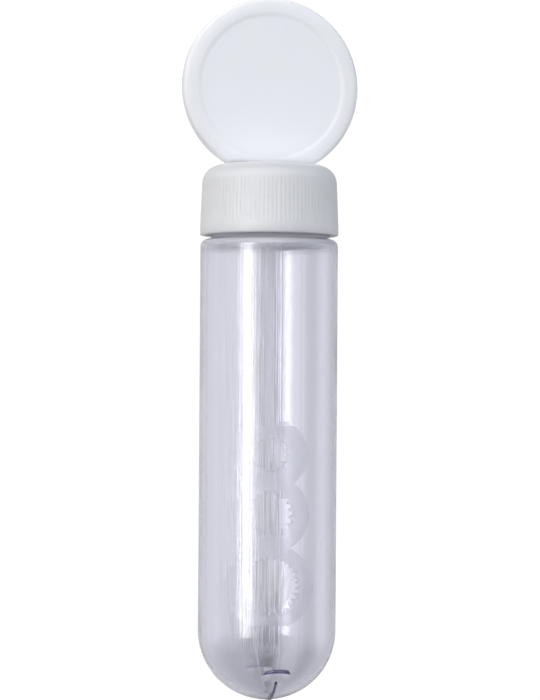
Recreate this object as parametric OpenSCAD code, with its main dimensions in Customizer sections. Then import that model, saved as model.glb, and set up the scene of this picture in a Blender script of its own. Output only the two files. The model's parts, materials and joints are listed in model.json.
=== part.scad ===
// Bubble tube: a clear round-bottomed bottle, a ribbed screw cap that carries a
// big round disc, a toothed three-ring wand held in the cap, and a foam liner.
// Z runs up the tube's axis from the lowest point of the bottom. The disc and
// the wand's head face along -Y, and the bottle's mould parting plane is Y-Z.

/* [Bottle] */
// Outside diameter of the tube
tube_d = 28; // [27:0.5:36]
// Height from the lowest point to the flat shoulder
body_h = 93.5; // [85:0.5:150]
// Wall of the tube and its round bottom
tube_wall = 1.1; // [0.7:0.1:1.6]
// Rounding of the shoulder's edge
shoulder_r = 1.4; // [1.2:0.1:1.6]

/* [Neck] */
// Step in from the tube to the neck's thread and bead
neck_step = 2.15; // [1.9:0.05:2.6]
// Depth of the thread, from its crest to the plain neck
thread_depth = 1.05; // [0.7:0.05:1.3]
// Wall of the plain neck
neck_wall = 1.2; // [0.8:0.1:1.4]
// Height from the shoulder to the lip
neck_h = 12.7; // [10.5:0.1:18]
// Height of the bead on the neck's foot
bead_h = 1.4; // [1:0.1:2]
// Rounding of the lip and of the bead's upper edge
lip_r = 0.4; // [0.2:0.1:0.5]

/* [Pinch-off at the bottom] */
// Width of the weld line
weld_w = 0.5; // [0.4:0.1:0.9]
// How far the weld line stands out of the bottom
weld_proud = 0.3; // [0.2:0.05:0.5]
// Length of the weld line, seen from below
weld_span = 22.4; // [14:0.2:23]
// Width of the flattened band round the weld line, which sets how deep it is cut
pocket_w = 5.6; // [3:0.1:6]
// How far the band reaches past each end of the weld line
pocket_past = 0.8; // [0.5:0.1:1.4]

/* [Cap] */
// Gap between the cap's rim and the shoulder
rim_gap = 0.8; // [0.3:0.1:1.5]
// Radial gap between the neck's bead and the skirt
skirt_gap = 0.3; // [0.2:0.05:0.6]
// How far the skirt stands out past the tube
cap_over = 0.05; // [0:0.05:0.6]
// Thickness of the roof
roof_t = 1.3; // [1:0.1:2.2]
// Rounding from the skirt to the roof
dome_r = 3.8; // [2.5:0.1:4.2]
// How far the skirt narrows towards the dome
skirt_draft = 0.35; // [0.1:0.05:0.5]
// Number of grip ribs
rib_n = 102; // [60:2:110]
// Depth of the grooves between the ribs
groove_depth = 0.25; // [0.2:0.05:0.5]
// Height of the plain band below the ribs
band_h = 2; // [1.5:0.1:3]

/* [Wand socket] */
// Wall of the socket under the roof
socket_wall = 1.6; // [1:0.1:2]
// Depth of the socket
socket_h = 8; // [5:0.5:9.5]
// Radial gap between the stem and the socket
stem_gap = 0.05; // [0.02:0.01:0.09]

/* [Disc] */
// Diameter of the disc
disc_d = 36; // [28:1:50]
// Thickness of the disc
disc_t = 3.3; // [2.6:0.1:5]
// How deep the disc's edge sinks into the roof
disc_sink = 2; // [1.5:0.05:3]
// Rounding of the disc's edge
disc_edge_r = 0.9; // [0.4:0.1:1.1]
// Width of the raised rim round each face
disc_rim = 2.9; // [2:0.1:4]
// Depth of the shallow recess in each face
recess_depth = 0.35; // [0.2:0.05:0.6]
// Size of the cove where the disc meets the roof
foot_cove = 0.8; // [0.4:0.1:1]

/* [Wand] */
// Diameter of the stem
stem_d = 2.9; // [2.2:0.1:3.4]
// Thickness of the head
head_t = 2; // [1.4:0.1:2.6]
// Radial gap between the large ring and the neck's bore
head_gap = 0.8; // [0.5:0.1:2]
// Gap between the wand's lower end and the inside of the bottom
tip_gap = 13.7; // [6:0.1:20]
// How much smaller the medium ring's outer radius is than the large ring's
medium_step = 0.8; // [0:0.1:1.5]
// How much smaller the small ring's outer radius is than the large ring's
small_step = 1.1; // [0.5:0.1:2]
// Rim of the large ring, from the foot of its teeth outwards
large_rim = 2.6; // [1.8:0.1:3.2]
// Rim of the medium ring
medium_rim = 3.1; // [2.2:0.1:3.4]
// Rim of the small ring
small_rim = 3.9; // [3:0.1:4]
// Overlap of the small and the medium ring
upper_overlap = 3.6; // [2.5:0.1:4.5]
// Overlap of the medium and the large ring
lower_overlap = 2.06; // [1.5:0.02:3]
// How much of the small ring the flat top cuts off
top_cut = 2; // [0.5:0.1:2.5]
// How much of the large ring the flat lower end cuts off
end_cut = 0.84; // [0.3:0.02:1.4]
// Teeth inside the large ring
large_teeth = 30; // [18:1:36]
// Teeth inside the medium ring
medium_teeth = 18; // [12:1:26]
// Teeth inside the small ring
small_teeth = 18; // [10:1:20]
// Height of the teeth in the large and the medium ring
tooth_h = 0.8; // [0.4:0.05:1]
// Height of the teeth in the small ring
small_tooth_h = 0.6; // [0.3:0.05:0.7]

/* [Liner] */
// Thickness of the foam liner
liner_t = 1; // [0.6:0.1:2]
// Radial gap between the liner and the skirt
liner_gap = 0.4; // [0.2:0.1:0.8]
// Radial gap between the liner and the wand's socket
liner_bore_gap = 0.5; // [0.3:0.1:1]

/* [Hidden] */
$fn = 96;
eps = 0.01;

// Tube: its hemispherical bottom is centred on z = ball_z
tube_r = tube_d / 2;
bore_r = tube_r - tube_wall;
ball_z = tube_r + weld_proud;
floor_z = ball_z - bore_r;
pocket_r = sqrt(tube_r * tube_r - pocket_w * pocket_w / 4);
weld_half = weld_span / 2;
pocket_half = weld_half + pocket_past;
inner_shoulder_r = max(shoulder_r - tube_wall, 0.2);

// Neck
finish_r = tube_r - neck_step;
neck_r = finish_r - thread_depth;
mouth_r = neck_r - neck_wall;
lip_z = body_h + neck_h;

// Cap
rim_z = body_h + rim_gap;
roof_z = lip_z + liner_t;
cap_top_z = roof_z + roof_t;
skirt_bore_r = finish_r + skirt_gap;
cap_r = tube_r + cap_over;
dome_z = cap_top_z - dome_r;
dome_foot_r = cap_r - skirt_draft;
ribs_z = rim_z + band_h;
draft_angle = atan(skirt_draft / (dome_z - ribs_z));
rib_pitch = 2 * PI * cap_r / rib_n;

// Disc
disc_r = disc_d / 2;
disc_z = cap_top_z + disc_r - disc_sink;
foot_half = sqrt(disc_r * disc_r - (disc_z - cap_top_z) * (disc_z - cap_top_z));

// Wand: the rings' centres follow from their radii and overlaps
stem_r = stem_d / 2;
socket_r = stem_r + stem_gap;
boss_r = socket_r + socket_wall;
large_r = mouth_r - head_gap;
medium_r = large_r - medium_step;
small_r = large_r - small_step;
wand_end_z = floor_z + tip_gap;
large_z = wand_end_z + large_r - end_cut;
medium_z = large_z + large_r + medium_r - lower_overlap;
small_z = medium_z + medium_r + small_r - upper_overlap;
head_top_z = small_z + small_r - top_cut;

// Half outline of a tube with a hemispherical bottom and a rounded shoulder
module tube_outline(r, bottom_z, top_z, corner_r) {
    middle_z = bottom_z + r;
    corner_z = top_z - corner_r;
    intersection() {
        translate([0, middle_z]) circle(r);
        translate([0, bottom_z]) square([r, r]);
    }
    translate([0, middle_z]) square([r, corner_z - middle_z]);
    rounded_top(r, corner_z, corner_r);
}

// Half outline of a flat top with a rounded edge
module rounded_top(r, z, edge_r) {
    translate([0, z]) square([r - edge_r, edge_r]);
    intersection() {
        translate([r - edge_r, z]) circle(edge_r);
        translate([r - edge_r, z]) square([edge_r, edge_r]);
    }
}

// Half outline of a plain collar with a rounded upper edge
module collar_outline(r, from_z, to_z, edge_r) {
    translate([0, from_z]) square([r, to_z - edge_r - from_z]);
    rounded_top(r, to_z - edge_r, edge_r);
}

module ball(r) {
    translate([0, 0, ball_z]) sphere(r);
}

// Band that is flat across the weld line: the ball less a cylinder that lies along X
module pinch_pocket() {
    difference() {
        translate([-pocket_w, -pocket_half, -1]) cube([2 * pocket_w, 2 * pocket_half, ball_z]);
        translate([0, 0, ball_z]) rotate([0, 90, 0]) cylinder(h = 3 * pocket_w, r = pocket_r, center = true);
    }
}

// Weld line that the mould's two halves leave across the bottom
module weld_line() {
    intersection() {
        difference() {
            ball(tube_r + weld_proud);
            ball(tube_r - tube_wall / 2);
        }
        translate([-weld_w / 2, -weld_half, -1]) cube([weld_w, 2 * weld_half, ball_z]);
    }
}

module bottle() {
    color([0.80, 0.80, 0.90]) {
        difference() {
            rotate_extrude() difference() {
                union() {
                    tube_outline(tube_r, weld_proud, body_h, shoulder_r);
                    collar_outline(finish_r, body_h, body_h + bead_h, lip_r);
                    collar_outline(neck_r, body_h + bead_h, lip_z, lip_r);
                }
                tube_outline(bore_r, floor_z, body_h - tube_wall, inner_shoulder_r);
                translate([0, body_h - tube_wall - eps]) square([mouth_r, neck_h + tube_wall + 1]);
            }
            pinch_pocket();
        }
        weld_line();
    }
}

// Half outline of the cap: plain band, drafted skirt and rounded roof
module cap_outline() {
    translate([0, rim_z]) square([cap_r, band_h]);
    polygon([[0, ribs_z], [cap_r, ribs_z], [dome_foot_r, dome_z], [0, dome_z]]);
    rounded_top(dome_foot_r, dome_z, dome_r);
}

// One V groove between two ribs, leaning in with the skirt
module groove() {
    translate([cap_r, 0, ribs_z]) rotate([0, -draft_angle, 0]) linear_extrude(cap_top_z - ribs_z)
        polygon([[-groove_depth, 0], [groove_depth, -rib_pitch * 0.8], [groove_depth, rib_pitch * 0.8]]);
}

// Cove of the disc's foot: a strip that flares out towards the roof on both sides
module cove_outline(half) {
    difference() {
        translate([-half - foot_cove, 0]) square([2 * (half + foot_cove), foot_cove]);
        for (side = [-1, 1]) translate([side * (half + foot_cove), foot_cove]) circle(foot_cove);
    }
}

module disc_foot() {
    reach = disc_r;
    translate([0, 0, cap_top_z]) intersection() {
        rotate([90, 0, 0]) translate([0, 0, -reach]) linear_extrude(2 * reach) cove_outline(foot_half);
        rotate([90, 0, 90]) translate([0, 0, -reach]) linear_extrude(2 * reach) cove_outline(disc_t / 2);
    }
}

// Half section of the disc: rounded edge and a shallow recess in each face
module disc_outline() {
    flat_r = disc_r - disc_edge_r;
    translate([0, -disc_t / 2 + disc_edge_r]) square([disc_r, disc_t - 2 * disc_edge_r]);
    for (side = [0, 1]) mirror([0, side]) difference() {
        rounded_top(disc_r, disc_t / 2 - disc_edge_r, disc_edge_r);
        translate([0, disc_t / 2 - recess_depth]) square([disc_r - disc_rim, recess_depth + 1]);
    }
}

module disc() {
    intersection() {
        translate([0, 0, disc_z]) rotate([90, 0, 0]) rotate_extrude() disc_outline();
        translate([-disc_r, -disc_r, roof_z + roof_t / 2]) cube(4 * disc_r);
    }
    disc_foot();
}

module cap() {
    color([0.90, 0.92, 0.97]) {
        difference() {
            rotate_extrude() difference() {
                cap_outline();
                translate([0, rim_z - 1]) square([skirt_bore_r, roof_z - rim_z + 1]);
            }
            for (i = [0 : rib_n - 1]) rotate(i * 360 / rib_n) groove();
        }
        rotate_extrude() translate([socket_r, roof_z - socket_h]) square([socket_wall, socket_h]);
        disc();
    }
}

// Hole of one ring: round, with pointed teeth that stand in from its edge
module toothed_hole(r, teeth, depth) {
    half_angle = 180 / teeth;
    root = r * cos(half_angle * 0.8);
    difference() {
        circle(r);
        for (i = [0 : teeth - 1]) rotate(i * 360 / teeth) polygon([
            [r + 1, -r * sin(half_angle * 0.75)],
            [root, -r * sin(half_angle * 0.75)],
            [r - depth, 0],
            [root, r * sin(half_angle * 0.75)],
            [r + 1, r * sin(half_angle * 0.75)]
        ]);
    }
}

// The head's flat outline, drawn with its height along Y
module head_outline() {
    difference() {
        intersection() {
            union() {
                translate([0, large_z]) circle(large_r);
                translate([0, medium_z]) circle(medium_r);
                translate([0, small_z]) circle(small_r);
            }
            translate([-large_r, wand_end_z]) square([2 * large_r, head_top_z - wand_end_z]);
        }
        translate([0, large_z]) rotate(90) toothed_hole(large_r - large_rim, large_teeth, tooth_h);
        translate([0, medium_z]) rotate(90) toothed_hole(medium_r - medium_rim, medium_teeth, tooth_h);
        translate([0, small_z]) rotate(90) toothed_hole(small_r - small_rim, small_teeth, small_tooth_h);
    }
}

module wand() {
    stem_foot_z = head_top_z - top_cut / 2;
    color([0.93, 0.94, 0.96, 0.8]) {
        translate([0, head_t / 2, 0]) rotate([90, 0, 0]) linear_extrude(head_t) head_outline();
        translate([0, 0, stem_foot_z]) cylinder(h = roof_z - stem_foot_z - stem_gap, r = stem_r);
    }
}

module liner() {
    color([0.96, 0.96, 0.94]) difference() {
        translate([0, 0, lip_z]) cylinder(h = liner_t, r = skirt_bore_r - liner_gap);
        translate([0, 0, lip_z - 1]) cylinder(h = liner_t + 2, r = boss_r + liner_bore_gap);
    }
}

bottle();
cap();
wand();
liner();
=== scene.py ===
import json
from math import acos, atan2, cos, degrees, hypot, pi, radians, sin, sqrt, tan

import bmesh
import bpy
from mathutils import Matrix, Vector


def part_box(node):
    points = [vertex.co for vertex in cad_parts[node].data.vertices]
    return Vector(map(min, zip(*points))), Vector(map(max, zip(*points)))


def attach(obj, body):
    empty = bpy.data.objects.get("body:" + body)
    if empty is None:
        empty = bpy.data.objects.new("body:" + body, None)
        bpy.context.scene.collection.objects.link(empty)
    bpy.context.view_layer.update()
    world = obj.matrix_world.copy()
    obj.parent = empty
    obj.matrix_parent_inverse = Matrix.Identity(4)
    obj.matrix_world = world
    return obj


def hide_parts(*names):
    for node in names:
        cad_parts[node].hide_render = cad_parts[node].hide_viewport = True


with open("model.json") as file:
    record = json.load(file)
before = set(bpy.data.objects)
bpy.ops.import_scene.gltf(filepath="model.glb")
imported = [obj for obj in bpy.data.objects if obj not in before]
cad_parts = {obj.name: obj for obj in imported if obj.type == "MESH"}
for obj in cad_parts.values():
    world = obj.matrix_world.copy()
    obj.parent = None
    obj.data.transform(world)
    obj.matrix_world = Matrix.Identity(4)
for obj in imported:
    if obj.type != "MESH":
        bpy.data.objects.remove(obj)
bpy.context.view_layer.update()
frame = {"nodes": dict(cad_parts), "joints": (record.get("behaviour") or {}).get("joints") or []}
scene = bpy.context.scene
mm = 0.001
print("frame loaded:", ", ".join(sorted(frame["nodes"])))

# what the frame says about the four pieces, in metres
bottleLow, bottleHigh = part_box("bottle")
capLow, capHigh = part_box("cap")
wandLow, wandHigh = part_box("wand")
linerLow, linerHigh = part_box("liner")
threadJoint = next(j for j in frame["joints"] if j["name"] == "thread_rise")
threadLead = threadJoint["range_m"][1]


# small tools

def smooth(low, high, value):
    share = min(max((value - low) / (high - low), 0.0), 1.0)
    return share * share * (3 - 2 * share)


def arc(centre, radius, start, end, steps):
    # radius and height of the points along a round corner, angles in degrees
    turns = [radians(start + (end - start) * i / steps) for i in range(steps + 1)]
    return [(centre[0] + radius * cos(t), centre[1] + radius * sin(t)) for t in turns]


def rows(radius, fromHeight, toHeight, count):
    return [(radius, fromHeight + (toHeight - fromHeight) * i / count) for i in range(count + 1)]


def openEdges(shape, points):
    kept = set(points)
    return [e for e in shape.edges if len(e.link_faces) == 1 and kept.issuperset(e.verts)]


def growRing(shape, rim, wide, deep, height):
    # extrudes the ring of edges, then sets its half width, half depth and height
    grown = bmesh.ops.extrude_edge_only(shape, edges=rim)["geom"]
    points = [g for g in grown if isinstance(g, bmesh.types.BMVert)]
    wasWide = max(abs(p.co.x) for p in points)
    wasDeep = max(abs(p.co.y) for p in points)
    bmesh.ops.scale(shape, vec=(wide / wasWide, deep / wasDeep, 1), verts=points)
    bmesh.ops.translate(shape, vec=(0, 0, height - points[0].co.z), verts=points)
    return [g for g in grown if isinstance(g, bmesh.types.BMEdge) and not set(g.verts) - set(points)]


def growProfile(shape, rim, profile):
    for radius, height in profile:
        rim = growRing(shape, rim, radius, radius, height)
    return rim


def makePiece(name, shape, material, body, slot, *nodes, sharp=50):
    mesh = bpy.data.meshes.new(name)
    shape.to_mesh(mesh)
    shape.free()
    mesh.shade_smooth()
    mesh.set_sharp_from_angle(angle=radians(sharp))
    mesh.materials.append(material)
    piece = bpy.data.objects.new(name, mesh)
    scene.collection.objects.link(piece)
    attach(piece, body)
    if nodes:
        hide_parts(*nodes)
    print(name, "made,", len(mesh.polygons), "faces")


# materials

def linear(hexColour):
    parts = [int(hexColour[i:i + 2], 16) / 255 for i in (0, 2, 4)]
    return tuple(c / 12.92 if c <= 0.04045 else ((c + 0.055) / 1.055) ** 2.4 for c in parts) + (1,)


def addNode(tree, kind, settings=None, links=None, **fields):
    # fields are the node's own settings, settings its sockets' values, links what feeds its sockets
    made = tree.nodes.new(kind)
    for field, value in fields.items():
        setattr(made, field, value)
    for socket, value in (settings or {}).items():
        made.inputs[socket].default_value = value
    for socket, source in (links or {}).items():
        tree.links.new(source, made.inputs[socket])
    return made


def times(tree, one, other):
    made = addNode(tree, "ShaderNodeMath", links={0: one, 1: other}, operation="MULTIPLY")
    return made.outputs["Value"]


def newMaterial(name):
    material = bpy.data.materials.new(name)
    material.use_nodes = True
    material.node_tree.nodes.clear()
    return material, material.node_tree


def blowMouldedPvc():
    # clear PVC with a violet-blue toner, blow moulded: the mould's left half leaves fine upright streaks
    look = {"tint": "FAFAFC", "weldPaintedShade": "63638F", "clear": 0.96, "neckClear": 0.58, "neckMm": 92.0,
            "roughness": 0.06, "ior": 1.54, "depthTint": "BEBEEE", "depthPerMm": 0.12,
            "streakMm": 0.35, "streakDepthMm": 0.07, "patchMm": 9.0, "rippleMm": 12.0,
            "rippleDepthMm": 0.08,
            # streaks start above the round bottom, and are weaker at the far left and on the right
            "streakLowMm": 10, "streakHighMm": 20, "streakFromMm": -9.5, "sideStreaks": 0.1,
            "rightStreaks": 0.04}
    material, tree = newMaterial("blowMouldedPvc")
    place = addNode(tree, "ShaderNodeTexCoord").outputs["Object"]
    along = addNode(tree, "ShaderNodeMapping", {"Scale": (1, 1, 0.01)}, {"Vector": place})
    streaks = addNode(tree, "ShaderNodeTexNoise", {"Scale": 1 / (look["streakMm"] * mm), "Detail": 2.0},
                      {"Vector": along.outputs["Vector"]})
    patches = addNode(tree, "ShaderNodeTexNoise", {"Scale": 1 / (look["patchMm"] * mm), "Detail": 1.0},
                      {"Vector": along.outputs["Vector"]})
    depth = addNode(tree, "ShaderNodeMapRange", {"From Min": 0.35, "From Max": 0.65, "To Min": 0.5},
                    {"Value": patches.outputs["Fac"]})
    parts = addNode(tree, "ShaderNodeSeparateXYZ", links={"Vector": place})
    leftHalf = addNode(tree, "ShaderNodeMapRange",
                       {"From Min": 0.2 * mm, "From Max": 0.0, "To Min": look["rightStreaks"]},
                       {"Value": parts.outputs["X"]})
    onWall = addNode(tree, "ShaderNodeMapRange",
                     {"From Min": look["streakLowMm"] * mm, "From Max": look["streakHighMm"] * mm},
                     {"Value": parts.outputs["Z"]})
    towardsFront = addNode(tree, "ShaderNodeMapRange",
                           {"From Min": (look["streakFromMm"] - 1.5) * mm,
                            "From Max": (look["streakFromMm"] + 1.5) * mm,
                            "To Min": look["sideStreaks"]},
                           {"Value": parts.outputs["X"]})
    strength = depth.outputs["Result"]
    for share in (towardsFront, leftHalf, onWall):
        strength = times(tree, strength, share.outputs["Result"])
    ripples = addNode(tree, "ShaderNodeTexNoise", {"Scale": 1 / (look["rippleMm"] * mm), "Detail": 1.0},
                      {"Vector": place})
    streakBump = addNode(tree, "ShaderNodeBump", {"Distance": look["streakDepthMm"] * mm},
                         {"Height": streaks.outputs["Fac"], "Strength": strength})
    rippleBump = addNode(tree, "ShaderNodeBump", {"Distance": look["rippleDepthMm"] * mm},
                         {"Height": ripples.outputs["Fac"], "Normal": streakBump.outputs["Normal"]})
    # the weld attribute paints the weld ridge and the band's upright end dark violet: painted shade of
    # their steep sides
    weld = addNode(tree, "ShaderNodeAttribute", attribute_name="weld")
    tint = addNode(tree, "ShaderNodeMix", {"A": linear(look["tint"]), "B": linear(look["weldPaintedShade"])},
                   {"Factor": weld.outputs["Fac"]}, data_type="RGBA")
    # the thick neck and shoulder are a little milkier than the stretched wall
    milky = addNode(tree, "ShaderNodeMapRange",
                    {"From Min": (look["neckMm"] - 1) * mm, "From Max": (look["neckMm"] + 1) * mm,
                     "To Min": look["clear"], "To Max": look["neckClear"]}, {"Value": parts.outputs["Z"]})
    skin = addNode(tree, "ShaderNodeBsdfPrincipled",
                   {"Roughness": look["roughness"], "IOR": look["ior"]},
                   {"Base Color": tint.outputs["Result"], "Normal": rippleBump.outputs["Normal"],
                    "Transmission Weight": milky.outputs["Result"]})
    depthTint = addNode(tree, "ShaderNodeVolumeAbsorption",
                        {"Color": linear(look["depthTint"]), "Density": look["depthPerMm"] / mm})
    addNode(tree, "ShaderNodeOutputMaterial", links={"Surface": skin.outputs["BSDF"],
                                                     "Volume": depthTint.outputs["Volume"]})
    return material


def mouldedPolypropylene():
    # white polypropylene, injection moulded: satin skin, light soaks a little way in and comes back
    look = {"colour": "F1F2F6", "roughness": 0.42, "ior": 1.49, "soakMm": 4.0, "through": 0.1,
            "grainMm": 0.15, "grainDepthMm": 0.001, "roughnessSpread": 0.05}
    material, tree = newMaterial("mouldedPolypropylene")
    place = addNode(tree, "ShaderNodeTexCoord").outputs["Object"]
    grain = addNode(tree, "ShaderNodeTexNoise", {"Scale": 1 / (look["grainMm"] * mm), "Detail": 3.0},
                    {"Vector": place})
    bump = addNode(tree, "ShaderNodeBump", {"Distance": look["grainDepthMm"] * mm},
                   {"Height": grain.outputs["Fac"]})
    sheen = addNode(tree, "ShaderNodeMapRange",
                    {"From Min": 0.3, "From Max": 0.7,
                     "To Min": look["roughness"] - look["roughnessSpread"],
                     "To Max": look["roughness"] + look["roughnessSpread"]},
                    {"Value": grain.outputs["Fac"]})
    skin = addNode(tree, "ShaderNodeBsdfPrincipled",
                   {"Base Color": linear(look["colour"]), "IOR": look["ior"], "Subsurface Weight": 1.0,
                    "Transmission Weight": look["through"],
                    "Subsurface Radius": (1.0, 1.0, 1.0), "Subsurface Scale": look["soakMm"] * mm},
                   {"Roughness": sheen.outputs["Result"], "Normal": bump.outputs["Normal"]})
    addNode(tree, "ShaderNodeOutputMaterial", links={"Surface": skin.outputs["BSDF"]})
    return material


def naturalPolypropylene():
    # uncoloured polypropylene, injection moulded thin: milky, passes light but blurs what is behind it
    look = {"colour": "FAFAFD", "roughness": 0.5, "ior": 1.4, "through": 0.12, "clear": 0.74,
            "flowMm": 2.2, "flowDepthMm": 0.02}
    material, tree = newMaterial("naturalPolypropylene")
    place = addNode(tree, "ShaderNodeTexCoord").outputs["Object"]
    flow = addNode(tree, "ShaderNodeTexNoise", {"Scale": 1 / (look["flowMm"] * mm), "Detail": 2.0},
                   {"Vector": place})
    bump = addNode(tree, "ShaderNodeBump", {"Distance": look["flowDepthMm"] * mm},
                   {"Height": flow.outputs["Fac"]})
    skin = addNode(tree, "ShaderNodeBsdfPrincipled",
                   {"Base Color": linear(look["colour"]), "Roughness": look["roughness"],
                    "IOR": look["ior"], "Transmission Weight": look["through"]},
                   {"Normal": bump.outputs["Normal"]})
    straight = addNode(tree, "ShaderNodeBsdfTransparent")
    veil = addNode(tree, "ShaderNodeMixShader", {0: look["clear"]},
                   {1: skin.outputs["BSDF"], 2: straight.outputs["BSDF"]})
    addNode(tree, "ShaderNodeOutputMaterial", links={"Surface": veil.outputs["Shader"]})
    return material


def polyethyleneFoam():
    # closed-cell polyethylene foam, cut from sheet: dull, with fine cells open on its skin
    look = {"colour": "F4F3EE", "shade": "DEDDD6", "roughness": 0.85, "cellMm": 0.35, "cellDepthMm": 0.06}
    material, tree = newMaterial("polyethyleneFoam")
    place = addNode(tree, "ShaderNodeTexCoord").outputs["Object"]
    cells = addNode(tree, "ShaderNodeTexVoronoi", {"Scale": 1 / (look["cellMm"] * mm)}, {"Vector": place})
    bump = addNode(tree, "ShaderNodeBump", {"Distance": look["cellDepthMm"] * mm},
                   {"Height": cells.outputs["Distance"]})
    colour = addNode(tree, "ShaderNodeMix", {"A": linear(look["colour"]), "B": linear(look["shade"])},
                     {"Factor": cells.outputs["Distance"]}, data_type="RGBA")
    skin = addNode(tree, "ShaderNodeBsdfPrincipled", {"Roughness": look["roughness"]},
                   {"Base Color": colour.outputs["Result"], "Normal": bump.outputs["Normal"]})
    addNode(tree, "ShaderNodeOutputMaterial", links={"Surface": skin.outputs["BSDF"]})
    return material


clearPvc = blowMouldedPvc()
whitePlastic = mouldedPolypropylene()
milkyPlastic = naturalPolypropylene()
foam = polyethyleneFoam()
print("materials made")


# bottle

bottle = {
    "wall": 1.1 * mm, "shoulderRound": 1.4 * mm, "footFillet": 0.35 * mm,
    "neckStep": 2.15 * mm, "threadDepth": 1.05 * mm, "neckWall": 1.2 * mm,
    "beadHeight": 1.4 * mm, "lipRound": 0.4 * mm, "rimGap": 0.8 * mm,
    "weldProud": 0.3 * mm, "weldWidth": 0.6 * mm, "weldSpan": 22.4 * mm,
    "weldRunOut": 0.6 * mm, "farWeld": 0.15, "farWeldFrom": 3 * mm,
    "shoulderWall": 0.8 * mm, "shoulderCorner": 0.5 * mm,
    "bandWidth": 5.7 * mm, "bandPast": 0.8 * mm, "bandDepth": 0.42 * mm, "farShare": 0.5,
    # degrees below the equator of the band's front and back end, how far they bow down at their
    # sides, and over how many the band runs out below them
    "bandFront": 29.8, "bandBack": 44, "bandBend": 2.6, "bandRunOut": 13,
    # how many of those degrees the painted shade at the band's end takes, and how dark the far one is
    # painted
    "shadeRows": 2.2, "farShade": 0.4,
    "seamWidth": 0.26 * mm, "seamProud": 0.035 * mm, "seamRunOut": 0.4 * mm,
    "threadWidth": 1.5 * mm, "threadFlank": 0.5 * mm, "threadRunOut": 25,
    # where the thread starts above the bead, and the share of its depth that it fills
    "threadStart": 1.6 * mm, "threadFill": 0.95,
    # columns of faces round the half tube: degrees and how many, finest at the parting line
    "columns": ((72, 24), (15, 24), (6, 20), (15, 24), (72, 24)),
    # rows of faces from the front edge of the round bottom to its lowest point, in the same way
    "rows": ((30.2, 15), (0.75, 3), (0.1, 1), (0.6, 3), (8.35, 9), (4.0, 8), (46.0, 26)),
    "bandRow": 31, "threadRows": 66,
}
tubeRadius = bottleHigh.x
boreRadius = tubeRadius - bottle["wall"]
shoulderZ = capLow.z - bottle["rimGap"]
ballZ = tubeRadius + bottle["weldProud"]
finishRadius = tubeRadius - bottle["neckStep"]
neckRadius = finishRadius - bottle["threadDepth"]
mouthRadius = neckRadius - bottle["neckWall"]
lipZ = bottleHigh.z
beadTopZ = shoulderZ + bottle["beadHeight"]
threadFootZ = beadTopZ + bottle["threadStart"]


def threadProfile(offset, width, flank):
    # 1 on the crest, 0 outside, with sloping flanks
    return smooth(width / 2 + flank / 2, width / 2 - flank / 2, abs(offset))


def neckThread(point):
    # how far the one-turn thread stands out at this point of the neck
    turn = (degrees(atan2(point.y, point.x)) + 360) % 360
    nearest = 0.0
    for lap in (-1, 0, 1):
        along = turn + 360 * lap
        runOut = bottle["threadRunOut"]
        if -runOut < along < 360 + runOut:
            centreZ = threadFootZ + threadLead * along / 360
            fade = smooth(-runOut, 0, along) * smooth(360 + runOut, 360, along)
            ridge = threadProfile(point.z - centreZ, bottle["threadWidth"], bottle["threadFlank"])
            nearest = max(nearest, ridge * fade)
    return nearest * bottle["threadDepth"] * bottle["threadFill"]


def pinchOff(point):
    # the flattened band and the weld on it: where the point goes, and how much painted dark violet shade
    # it takes on the weld and at the band's end
    b = bottle
    far = point.y > 0
    row = degrees(atan2(ballZ - point.z, abs(point.y)))
    ballRadius = sqrt(max(tubeRadius ** 2 - point.x ** 2, 0))
    away = abs(point.x) / (b["bandWidth"] / 2)
    depth = b["bandDepth"] * (b["farShare"] if far else 1)
    # angles below the equator at which the band's upright end meets the round bottom and the band
    outer = b["bandBack"] if far else b["bandFront"]
    outer += b["bandBend"] * (min(away, 1) ** 2 - smooth(1, 3, away))
    endDepth = depth * smooth(1, 0.75, away)
    inner = degrees(acos(min(cos(radians(outer)) * ballRadius / (ballRadius - endDepth), 1)))
    if row > b["bandRow"]:
        turn = inner + (row - b["bandRow"]) * (90 - inner) / (90 - b["bandRow"])
        # the band's sides get softer away from its end
        depth *= smooth(1, 0.75 - 0.5 * smooth(b["bandRow"], b["bandRow"] + 4, row), away)
        radius = ballRadius - depth * smooth(b["bandRow"] + b["bandRunOut"], b["bandRow"], row)
    else:
        turn = row * outer / b["bandRow"]
        radius = ballRadius
    # painted shade along the band's upright end, where the step bends the light
    atEnd = smooth(b["shadeRows"], b["shadeRows"] * 0.4, abs(row - b["bandRow"])) * smooth(1.0, 0.85, away)
    along = radius * cos(radians(turn))
    halfWeld, halfSpan = b["weldWidth"] / 2, b["weldSpan"] / 2
    weldEnd = smooth(halfSpan - 0.4 * b["weldRunOut"], halfSpan - b["weldRunOut"], along)
    ridge = smooth(halfWeld, halfWeld * 0.45, abs(point.x)) * weldEnd
    # behind the lowest point the weld gets lower and its painted shade fainter
    weldShare = 1 + (b["farWeld"] - 1) * smooth(0, b["farWeldFrom"], point.y)
    radius += ridge * (tubeRadius + b["weldProud"] - radius) * weldShare
    onWeld = smooth(halfWeld * 1.25, halfWeld * 0.75, abs(point.x)) * weldEnd * weldShare
    moved = Vector((point.x, (1 if far else -1) * radius * cos(radians(turn)),
                    ballZ - radius * sin(radians(turn))))
    return moved, max(onWeld, atEnd * (b["farShade"] if far else 1))


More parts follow.
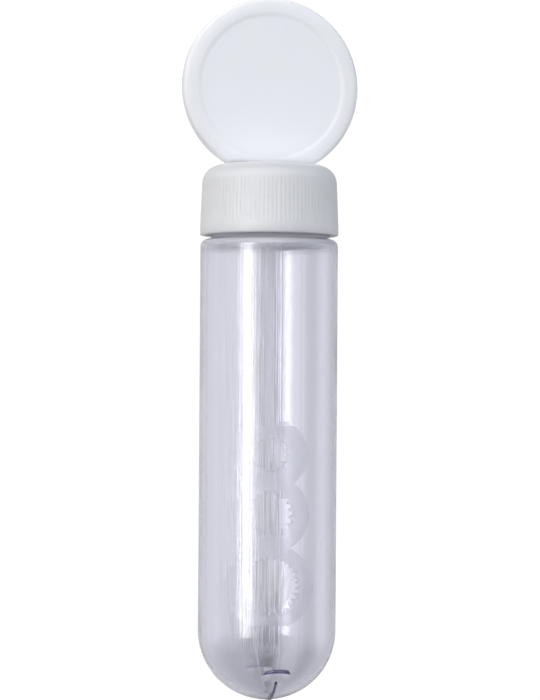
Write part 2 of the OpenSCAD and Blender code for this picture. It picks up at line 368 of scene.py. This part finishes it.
def makeBottle():
    b = bottle
    shape = bmesh.new()
    # the weld attribute holds the painted dark violet shade on the weld and at the band's end
    weldShare = shape.verts.layers.float.new("weld")
    # a half circle from -X through the front to +X, spun under the tube: the round bottom
    first = shape.verts.new((-tubeRadius, 0, ballZ))
    chain = [first]
    for angle, steps in b["columns"]:
        grown = bmesh.ops.spin(shape, geom=[chain[-1]], cent=(0, 0, ballZ), axis=(0, 0, 1),
                               angle=radians(angle), steps=steps)["geom_last"]
        chain += [g for g in grown if isinstance(g, bmesh.types.BMVert)]
    row = shape.verts[:] + shape.edges[:]
    for angle, steps in b["rows"] + b["rows"][::-1]:
        row = bmesh.ops.spin(shape, geom=row, cent=(0, 0, ballZ), axis=(1, 0, 0),
                             angle=radians(angle), steps=steps)["geom_last"]
    bmesh.ops.remove_doubles(shape, verts=shape.verts, dist=0.002 * mm)
    lining = bmesh.ops.duplicate(shape, geom=shape.verts[:] + shape.edges[:] + shape.faces[:])["geom"]
    lining = [g for g in lining if isinstance(g, bmesh.types.BMVert)]
    kept = set(lining)
    skin = [v for v in shape.verts if v not in kept]

    rim = openEdges(shape, skin)
    fillet = b["footFillet"]
    outside = rows(tubeRadius, ballZ + 1 * mm, shoulderZ - b["shoulderRound"] - 1 * mm, 10)
    outside += arc((tubeRadius - b["shoulderRound"], shoulderZ - b["shoulderRound"]),
                   b["shoulderRound"], 0, 90, 10)
    outside += arc((finishRadius + fillet, shoulderZ + fillet), fillet, 270, 180, 5)
    outside += arc((finishRadius - b["lipRound"], beadTopZ - b["lipRound"]), b["lipRound"], 0, 90, 5)
    outside += arc((neckRadius + fillet, beadTopZ + fillet), fillet, 270, 180, 4)
    outside += rows(neckRadius, beadTopZ + 2 * fillet, lipZ - 2 * b["lipRound"], b["threadRows"])
    outside += arc((neckRadius - b["lipRound"], lipZ - b["lipRound"]), b["lipRound"], 0, 90, 5)
    rim = growProfile(shape, rim, outside)
    skin = [v for v in shape.verts if v not in kept]

    # over the lip and down the inside
    under = shoulderZ - b["shoulderWall"]
    corner = b["shoulderCorner"]
    inside = arc((mouthRadius + b["lipRound"], lipZ - b["lipRound"]), b["lipRound"], 90, 180, 5)
    inside += rows(mouthRadius, lipZ - 2 * mm, under + 2 * mm, 6)
    inside += arc((mouthRadius + corner, under + corner), corner, 180, 270, 6)
    inside += arc((boreRadius - corner, under - corner), corner, 90, 0, 6)
    inside += rows(boreRadius, under - 3 * mm, ballZ, 10)
    rim = growProfile(shape, rim, inside)
    grow = boreRadius / tubeRadius
    bmesh.ops.scale(shape, vec=(grow, grow, grow), verts=lining,
                    space=Matrix.Translation((0, 0, -ballZ)))
    bmesh.ops.remove_doubles(shape, verts=shape.verts, dist=0.004 * mm)
    bmesh.ops.recalc_face_normals(shape, faces=shape.faces)

    # parting line, thread, pinch-off weld and its flattened band, all on the outer skin, with the painted
    # shade of the weld and the band's end
    skin = [v for v in skin if v.is_valid]
    seamEnd = b["weldSpan"] / 2 + b["bandPast"]
    for v in skin:
        p = v.co.copy()
        flat = Vector((p.x, p.y, 0))
        if p.z < ballZ:
            moved, v[weldShare] = pinchOff(p)
            seam = smooth(b["seamWidth"] / 2, 0, abs(p.x)) * b["seamProud"]
            seam *= smooth(seamEnd, seamEnd + b["seamRunOut"], abs(p.y))
            v.co = moved + (moved - Vector((0, 0, ballZ))).normalized() * seam
        elif p.z < shoulderZ + b["beadHeight"] / 2:
            seam = smooth(b["seamWidth"] / 2, 0, abs(p.x)) * b["seamProud"]
            v.co += flat.normalized() * seam
        elif abs(flat.length - neckRadius) < 0.01 * mm:
            v.co += flat.normalized() * neckThread(p)
    makePiece("bottleShell", shape, clearPvc, "tube", "bottle", "bottle", sharp=75)


makeBottle()


# cap

cap = {
    "bandHeight": 2.0 * mm, "draft": 0.35 * mm, "domeRound": 3.8 * mm, "rimRound": 0.25 * mm,
    "ribs": 102, "perRib": 6, "grooveDepth": 0.09 * mm, "grooveFade": 0.5 * mm,
    "skirtGap": 0.3 * mm, "socketGap": 0.05 * mm, "stem": 2.9 * mm, "socketWall": 1.6 * mm,
    "socketDepth": 8.0 * mm, "roof": 1.3 * mm,
    "innerRound": 0.3 * mm, "socketFillet": 0.4 * mm, "leadIn": 0.2 * mm,
    "threadDepth": 0.9 * mm, "threadWidth": 1.3 * mm, "threadFlank": 0.25 * mm, "threadRoot": 0.4 * mm,
    "threadRunOut": 25, "threadSunk": 0.2 * mm, "threadSteps": 160,
}
capRadius = capHigh.y
roofZ = linerHigh.z
capTopZ = roofZ + cap["roof"]
skirtBore = finishRadius + cap["skirtGap"]
ribsZ = capLow.z + cap["bandHeight"]
domeZ = capTopZ - cap["domeRound"]
domeFoot = capRadius - cap["draft"]
socketRadius = cap["stem"] / 2 + cap["socketGap"]
socketZ = roofZ - cap["socketDepth"]
bossRadius = socketRadius + cap["socketWall"]


def makeCap():
    c = cap
    shape = bmesh.new()
    soft = c["rimRound"]
    bmesh.ops.create_circle(shape, segments=c["ribs"] * c["perRib"], radius=capRadius - soft)
    bmesh.ops.translate(shape, vec=(0, 0, capLow.z), verts=shape.verts)
    start = shape.edges[:]
    outside = arc((capRadius - soft, capLow.z + soft), soft, -60, 0, 3)
    outside += rows(capRadius, ribsZ - 0.3 * mm, ribsZ + c["grooveFade"], 6)
    outside += [(capRadius - c["draft"] * i / 8, ribsZ + (domeZ - ribsZ) * i / 8) for i in range(2, 9)]
    outside += arc((domeFoot - c["domeRound"], domeZ), c["domeRound"], 6, 90, 18)
    rim = growProfile(shape, start, outside)
    bmesh.ops.contextual_create(shape, geom=rim)
    skin = shape.verts[:]
    corner, fillet = c["innerRound"], c["socketFillet"]
    inside = [(skirtBore + soft, capLow.z)]
    inside += arc((skirtBore + soft, capLow.z + soft), soft, 240, 180, 3)
    inside += rows(skirtBore, capLow.z + 1 * mm, roofZ - 0.5 * mm, 4)
    inside += arc((skirtBore - corner, roofZ - corner), corner, 0, 90, 3)
    inside += arc((bossRadius + fillet, roofZ - fillet), fillet, 90, 180, 4)
    inside += rows(bossRadius, roofZ - 1 * mm, socketZ + 0.5 * mm, 2)
    inside += arc((bossRadius - corner, socketZ + corner), corner, 0, -90, 3)
    inside += [(socketRadius + c["leadIn"], socketZ), (socketRadius, socketZ + corner),
               (socketRadius, roofZ - 0.01 * mm)]
    rim = growProfile(shape, start, inside)
    bmesh.ops.contextual_create(shape, geom=rim)
    bmesh.ops.recalc_face_normals(shape, faces=shape.faces)

    # grip ribs: rounded grooves that run out where the dome falls below their floor
    lean = c["draft"] / (domeZ - ribsZ)
    for v in skin:
        if v.co.z < ribsZ - 0.1 * mm:
            continue
        radius = hypot(v.co.x, v.co.y)
        phase = cos(atan2(v.co.y, v.co.x) * c["ribs"])
        cut = c["grooveDepth"] * (0.5 - 0.5 * phase) * smooth(ribsZ, ribsZ + c["grooveFade"], v.co.z)
        groovedRadius = capRadius - lean * (v.co.z - ribsZ) - cut
        if groovedRadius < radius:
            v.co.x *= groovedRadius / radius
            v.co.y *= groovedRadius / radius
    makePiece("capShell", shape, whitePlastic, "screw_cap", "cap", "cap", sharp=60)


def makeCapThread():
    # one turn of thread inside the skirt, half a lead below the neck's
    c = cap
    shape = bmesh.new()
    steps, runOut = c["threadSteps"], c["threadRunOut"]
    footZ = threadFootZ - threadLead / 2
    tip, back = skirtBore - c["threadDepth"], skirtBore + c["threadRoot"]
    half, flank = c["threadWidth"] / 2, c["threadFlank"]
    section = [(back, -half - flank), (tip, -half + flank), (tip, half - flank), (back, half + flank)]
    corners = [shape.verts.new((r, 0, footZ + h)) for r, h in section]
    outline = [shape.edges.new((corners[i], corners[(i + 1) % 4])) for i in range(4)]
    bmesh.ops.contextual_create(shape, geom=outline)
    bmesh.ops.spin(shape, geom=shape.verts[:] + outline, cent=(0, 0, 0), axis=(0, 0, 1),
                   dvec=(0, 0, threadLead / steps), angle=2 * pi, steps=steps)
    last = openEdges(shape, shape.verts)
    if last:
        bmesh.ops.contextual_create(shape, geom=last)
    bmesh.ops.recalc_face_normals(shape, faces=shape.faces)
    # both ends of the thread run out into the skirt
    sunk = skirtBore + c["threadSunk"]
    for v in shape.verts:
        radius = hypot(v.co.x, v.co.y)
        lap = (v.co.z - footZ) / threadLead * 360
        fade = smooth(0, runOut, lap) * smooth(360, 360 - runOut, lap)
        if radius < skirtBore:
            grow = (sunk - (sunk - radius) * fade) / radius
            v.co.x *= grow
            v.co.y *= grow
    makePiece("capThread", shape, whitePlastic, "screw_cap", "cap", sharp=40)


makeCap()
makeCapThread()


# disc on the cap

disc = {"thick": 3.3 * mm, "edgeRound": 0.9 * mm, "rim": 2.9 * mm,
        "recess": 0.24 * mm, "recessSlope": 0.9 * mm, "steps": 240,
        "cove": 0.8 * mm, "coveSteps": 8, "footCorner": 1.2 * mm, "footSunk": 0.05 * mm}
discRadius = capHigh.x
discZ = capHigh.z - discRadius


def makeDisc():
    d = disc
    shape = bmesh.new()
    half = d["thick"] / 2
    well = discRadius - d["rim"]
    # half section from the middle of the front face round the edge to the middle of the back face
    front = [(0, half - d["recess"]), (well - 1.5 * mm, half - d["recess"]),
             (well - d["recessSlope"] - 0.1 * mm, half - d["recess"])]
    for share in (0.0, 0.15, 0.35, 0.65, 0.85, 1.0):
        front.append((well - d["recessSlope"] * (1 - share),
                      half - d["recess"] * (1 - smooth(0, 1, share))))
    front += [(well + 0.3 * mm, half)]
    front += arc((discRadius - d["edgeRound"], half - d["edgeRound"]), d["edgeRound"], 90, 0, 8)
    section = front + [(r, -h) for r, h in reversed(front)]
    points = [shape.verts.new((r, -h, discZ)) for r, h in section]
    for one, other in zip(points, points[1:]):
        shape.edges.new((one, other))
    bmesh.ops.spin(shape, geom=shape.verts[:] + shape.edges[:], cent=(0, 0, discZ), axis=(0, 1, 0),
                   angle=2 * pi, steps=d["steps"], use_merge=True)
    bmesh.ops.remove_doubles(shape, verts=shape.verts, dist=0.002 * mm)
    everything = shape.verts[:] + shape.edges[:] + shape.faces[:]
    cut = bmesh.ops.bisect_plane(shape, geom=everything, plane_co=(0, 0, capTopZ - 0.5 * mm),
                                 plane_no=(0, 0, -1), clear_outer=True)["geom_cut"]
    bmesh.ops.contextual_create(shape, geom=[g for g in cut if isinstance(g, bmesh.types.BMEdge)])
    bmesh.ops.recalc_face_normals(shape, faces=shape.faces)
    makePiece("capDisc", shape, whitePlastic, "screw_cap", "cap", sharp=50)


def makeDiscFoot():
    # cove that eases the disc's faces into the roof
    d = disc
    shape = bmesh.new()
    bmesh.ops.create_grid(shape, x_segments=1, y_segments=1, size=1)
    chord = sqrt(discRadius ** 2 - (discZ - capTopZ) ** 2)
    side, cove = d["thick"] / 2, d["cove"]
    bmesh.ops.scale(shape, vec=(chord + cove / 2, side + cove, 1), verts=shape.verts)
    bmesh.ops.translate(shape, vec=(0, 0, capTopZ - d["footSunk"]), verts=shape.verts)
    bmesh.ops.bevel(shape, geom=shape.verts[:], offset=d["footCorner"], offset_type="OFFSET", segments=8,
                    profile=0.5, affect="VERTICES", material=-1)
    rim = [e for e in shape.edges if len(e.link_faces) == 1]
    for i in range(d["coveSteps"] + 1):
        turn = radians(90 * i / d["coveSteps"])
        out, up = cove * (1 - sin(turn)), cove * (1 - cos(turn))
        wide = sqrt(discRadius ** 2 - (discZ - capTopZ - up) ** 2) - d["edgeRound"] / 2 + out / 2
        rim = growRing(shape, rim, wide, side - 0.02 * mm + out, capTopZ + up)
    bmesh.ops.contextual_create(shape, geom=rim)
    bmesh.ops.recalc_face_normals(shape, faces=shape.faces)
    makePiece("capDiscFoot", shape, whitePlastic, "screw_cap", "cap", sharp=50)


makeDisc()
makeDiscFoot()


# wand

# faces that differ by less than flat are joined and edges over sharp are rounded, in degrees
wand = {"merge": 0.001 * mm, "flat": 0.4, "sharp": 60, "edgeRound": 0.18 * mm, "lean": 0.4}


def makeWand():
    shape = bmesh.new()
    shape.from_mesh(frame["nodes"]["wand"].data)
    bmesh.ops.remove_doubles(shape, verts=shape.verts, dist=wand["merge"])
    bmesh.ops.dissolve_limit(shape, angle_limit=radians(wand["flat"]), verts=shape.verts,
                             edges=shape.edges)
    bmesh.ops.recalc_face_normals(shape, faces=shape.faces)
    edges = [e for e in shape.edges
             if len(e.link_faces) == 2 and e.calc_face_angle(0) > radians(wand["sharp"])]
    bmesh.ops.bevel(shape, geom=edges, offset=wand["edgeRound"], offset_type="OFFSET", segments=2,
                    profile=0.5, affect="EDGES", clamp_overlap=True, material=-1)
    # it hangs a little out of true from its socket
    lean = sin(radians(wand["lean"]))
    for v in shape.verts:
        v.co.x += lean * max(socketZ - v.co.z, 0)
    makePiece("wandBody", shape, milkyPlastic, "hanging_wand", "wand", "wand", sharp=45)


makeWand()


# liner

liner = {"segments": 96, "edgeRound": 0.25 * mm, "socketGap": 0.5 * mm,
         "dent": 0.12 * mm, "dentInside": 0.3 * mm, "dentOutside": 0.2 * mm}


def makeLiner():
    shape = bmesh.new()
    soft, dent = liner["edgeRound"], liner["dent"]
    outer, inner = linerHigh.x, bossRadius + liner["socketGap"]
    low, high = linerLow.z, linerHigh.z
    bmesh.ops.create_circle(shape, segments=liner["segments"], radius=inner + soft)
    bmesh.ops.translate(shape, vec=(0, 0, low), verts=shape.verts)
    start = shape.edges[:]
    # underside with the dent that the neck's lip presses in, then round the edge and back inside
    section = [(mouthRadius - liner["dentInside"], low), (mouthRadius, low + dent),
               (neckRadius, low + dent), (neckRadius + liner["dentOutside"], low)]
    section += arc((outer - soft, low + soft), soft, -90, 0, 4)
    section += arc((outer - soft, high - soft), soft, 0, 90, 4)
    section += arc((inner + soft, high - soft), soft, 90, 180, 4)
    section += arc((inner + soft, low + soft), soft, 180, 270, 4)
    growProfile(shape, start, section)
    bmesh.ops.remove_doubles(shape, verts=shape.verts, dist=0.002 * mm)
    bmesh.ops.recalc_face_normals(shape, faces=shape.faces)
    makePiece("foamLiner", shape, foam, "lift_carrier", "liner", "liner", sharp=60)


makeLiner()


# camera, floor and light

# angles in degrees, lens and sensor in millimetres
camera = {"azimuth": -10.5, "distance": 0.394, "height": 0.0711, "aside": 0.00031, "roll": 0.38,
          "lens": 99.66857, "sensor": 36.0}


def makeCamera():
    turn = radians(camera["azimuth"])
    lens = bpy.data.cameras.new("studioCamera")
    lens.sensor_width = camera["sensor"]
    lens.lens = camera["lens"]
    lens.clip_start = 0.01
    eye = bpy.data.objects.new("studioCamera", lens)
    scene.collection.objects.link(eye)
    right = Vector((cos(turn), sin(turn), 0))
    eye.location = Vector((sin(turn), -cos(turn), 0)) * camera["distance"] + right * camera["aside"]
    eye.location.z = camera["height"]
    eye.rotation_mode = "XYZ"
    level = Matrix.Rotation(turn, 4, "Z") @ Matrix.Rotation(pi / 2, 4, "X")
    eye.rotation_euler = (level @ Matrix.Rotation(radians(camera["roll"]), 4, "Z")).to_euler()
    scene.camera = eye


studio = {
    # the room's radiance at eye level, by azimuth clockwise from the camera in degrees
    "room": ((-180, 0.05), (-178.6, 0.7), (-177.2, 0.77), (-174.4, 0.8), (-172.9, 0.93),
             (-171.4, 0.85), (-168, 0.84), (-160, 0.75), (-150, 0.7), (-135, 0.84), (-120, 1.0),
             (-105, 0.92), (-90, 0.85), (-80, 1.1), (-60, 1.1), (-15, 0.9), (5, 0.5), (60, 0.5),
             (78, 0.9), (95, 1.3), (110, 1.35), (125, 0.86), (140, 0.63), (155, 0.68), (166, 0.66),
             (171, 0.75), (172.9, 0.67), (174.4, 0.61), (175.8, 0.66), (177.2, 0.94), (178.6, 0.84),
             (180, 0.05)),
    # above and below the horizon, in front of the object and behind it
    "aboveFront": 2.85, "aboveBack": 0.75, "aboveLeft": 0.42, "aboveRight": 0.14,
    "aboveRightTone": "C8DCFF", "belowFront": 0.2, "belowBack": 0.7, "behind": 0.72, "white": 1.05,
    "floorRadius": 4.0,
}
# upright softbox: radiance across it by azimuth, and the heights it reaches at its distance
key = {"across": ((-80, 1.1), (-75, 1.4), (-62, 1.8), (-56, 2.0), (-51, 2.2), (-46, 3.9), (-41, 8.5),
                  (-36, 12.0), (-31, 9.0), (-26, 4.6), (-19, 2.6), (-13, 2.0), (-6, 1.5), (4, 1.4),
                  (12, 1.2), (22, 0.5)),
       "low": -0.145, "high": 0.3, "distance": 1.0}


def makeFloor():
    # white paper lit until it shows no shadow
    shape = bmesh.new()
    bmesh.ops.create_circle(shape, cap_ends=True, segments=96, radius=studio["floorRadius"])
    mesh = bpy.data.meshes.new("paleFloor")
    shape.to_mesh(mesh)
    shape.free()
    material, tree = newMaterial("palePaper")
    paper = addNode(tree, "ShaderNodeEmission", {"Color": (1, 1, 1, 1), "Strength": studio["white"]})
    addNode(tree, "ShaderNodeOutputMaterial", links={"Surface": paper.outputs["Emission"]})
    mesh.materials.append(material)
    floorDisc = bpy.data.objects.new("paleFloor", mesh)
    scene.collection.objects.link(floorDisc)
    floorDisc.visible_diffuse = False
    floorDisc.visible_glossy = False
    floorDisc.visible_shadow = False
    floorDisc.visible_transmission = False


def makeSoftbox():
    across, low, high, distance = key["across"], key["low"], key["high"], key["distance"]
    shape = bmesh.new()
    bmesh.ops.create_grid(shape, x_segments=1, y_segments=1, size=0.5)
    mesh = bpy.data.meshes.new("keySoftbox")
    shape.to_mesh(mesh)
    shape.free()
    middle = (across[0][0] + across[-1][0]) / 2
    wide = 2 * tan(radians(across[-1][0] - middle)) * distance
    peak = max(level for angle, level in across)
    material, tree = newMaterial("keySoftbox")
    place = addNode(tree, "ShaderNodeTexCoord").outputs["Object"]
    parts = addNode(tree, "ShaderNodeSeparateXYZ", links={"Vector": place})
    share = addNode(tree, "ShaderNodeMath", {1: 0.5}, {0: parts.outputs["X"]}, operation="ADD")
    ramp = addNode(tree, "ShaderNodeValToRGB", links={"Fac": share.outputs["Value"]})
    stops = ramp.color_ramp.elements
    while len(stops) < len(across):
        stops.new(0.5)
    for stop, (angle, level) in zip(stops, across):
        stop.position = 0.5 + tan(radians(angle - middle)) * distance / wide
        stop.color = (level / peak, level / peak, level / peak, 1)
    glow = addNode(tree, "ShaderNodeEmission", {"Strength": peak}, {"Color": ramp.outputs["Color"]})
    addNode(tree, "ShaderNodeOutputMaterial", links={"Surface": glow.outputs["Emission"]})
    mesh.materials.append(material)
    box = bpy.data.objects.new("keySoftbox", mesh)
    scene.collection.objects.link(box)
    turn = radians(camera["azimuth"] + middle)
    box.location = (sin(turn) * distance, -cos(turn) * distance, (low + high) / 2)
    box.rotation_euler = (pi / 2, 0, turn)
    box.scale = (wide, high - low, 1)
    box.visible_camera = False
    box.visible_diffuse = False


def makeStudio():
    s = studio
    world = bpy.data.worlds.new("softStudio")
    scene.world = world
    world.use_nodes = True
    tree = world.node_tree
    tree.nodes.clear()
    way = addNode(tree, "ShaderNodeTexCoord").outputs["Generated"]
    turned = addNode(tree, "ShaderNodeVectorRotate", {"Angle": radians(-camera["azimuth"])},
                     {"Vector": way}, rotation_type="Z_AXIS")
    parts = addNode(tree, "ShaderNodeSeparateXYZ", links={"Vector": turned.outputs["Vector"]})
    ahead = addNode(tree, "ShaderNodeMath", {1: -1.0}, {0: parts.outputs["Y"]}, operation="MULTIPLY")
    azimuth = addNode(tree, "ShaderNodeMath", links={0: parts.outputs["X"], 1: ahead.outputs["Value"]},
                      operation="ARCTAN2")
    share = addNode(tree, "ShaderNodeMapRange", {"From Min": -pi, "From Max": pi},
                    {"Value": azimuth.outputs["Value"]})
    room = addNode(tree, "ShaderNodeValToRGB", links={"Fac": share.outputs["Result"]})
    stops = room.color_ramp.elements
    while len(stops) < len(s["room"]):
        stops.new(0.5)
    for stop, (angle, level) in zip(stops, s["room"]):
        stop.position = (angle + 180) / 360
        stop.color = (level, level, level, 1)

    def blend(axis, low, high, fromValue, toValue):
        # low and high are parts of the direction looked in, -1 to 1 along one axis
        made = addNode(tree, "ShaderNodeMapRange",
                       {"From Min": low, "From Max": high, "To Min": fromValue, "To Max": toValue},
                       {"Value": parts.outputs[axis]}, interpolation_type="SMOOTHSTEP")
        return made.outputs["Result"]

    def mix(share, one, other):
        made = addNode(tree, "ShaderNodeMix", links={"Factor": share, "A": one, "B": other})
        return made.outputs["Result"]

    above = times(tree, blend("X", -0.8, -0.1, s["aboveLeft"], 1),
                  blend("X", -0.1, 0.8, 1, s["aboveRight"]))
    above = times(tree, above, blend("Y", -0.6, 0.2, s["aboveFront"], s["aboveBack"]))
    below = blend("Y", 0, 0.7, s["belowFront"], s["belowBack"])
    level = mix(blend("Z", 0.1, 0.25, 0, 1), room.outputs["Color"], above)
    level = mix(blend("Z", -0.12, -0.6, 0, 1), level, below)
    # right behind the object the room's foot is darker
    aside = addNode(tree, "ShaderNodeMath", links={0: parts.outputs["X"]}, operation="ABSOLUTE")
    narrow = addNode(tree, "ShaderNodeMapRange", {"From Min": 0.22, "From Max": 0.0},
                     {"Value": aside.outputs["Value"]}, interpolation_type="SMOOTHSTEP")
    foot = times(tree, blend("Z", -0.08, -0.2, 0, 1), blend("Y", 0, 0.5, 0, 1))
    foot = times(tree, foot, narrow.outputs["Result"])
    dimmed = addNode(tree, "ShaderNodeMapRange", {"To Min": 1.0, "To Max": s["behind"]}, {"Value": foot})
    level = times(tree, level, dimmed.outputs["Result"])
    # the light from the upper right is skylight, a little blue
    skyShare = times(tree, blend("Z", 0.1, 0.25, 0, 1), blend("X", -0.1, 0.8, 0, 1))
    tone = addNode(tree, "ShaderNodeMix", {"A": (1, 1, 1, 1), "B": linear(s["aboveRightTone"])},
                   {"Factor": skyShare}, data_type="RGBA")
    path = addNode(tree, "ShaderNodeLightPath")
    lit = addNode(tree, "ShaderNodeBackground", links={"Color": tone.outputs["Result"], "Strength": level})
    backdrop = addNode(tree, "ShaderNodeBackground", {"Color": (1, 1, 1, 1), "Strength": s["white"]})
    both = addNode(tree, "ShaderNodeMixShader",
                   links={0: path.outputs["Is Camera Ray"], 1: lit.outputs["Background"],
                          2: backdrop.outputs["Background"]})
    addNode(tree, "ShaderNodeOutputWorld", links={"Surface": both.outputs["Shader"]})
    scene.view_settings.view_transform = "Standard"


makeCamera()
makeFloor()
makeSoftbox()
makeStudio()
print("camera, floor and lights set")
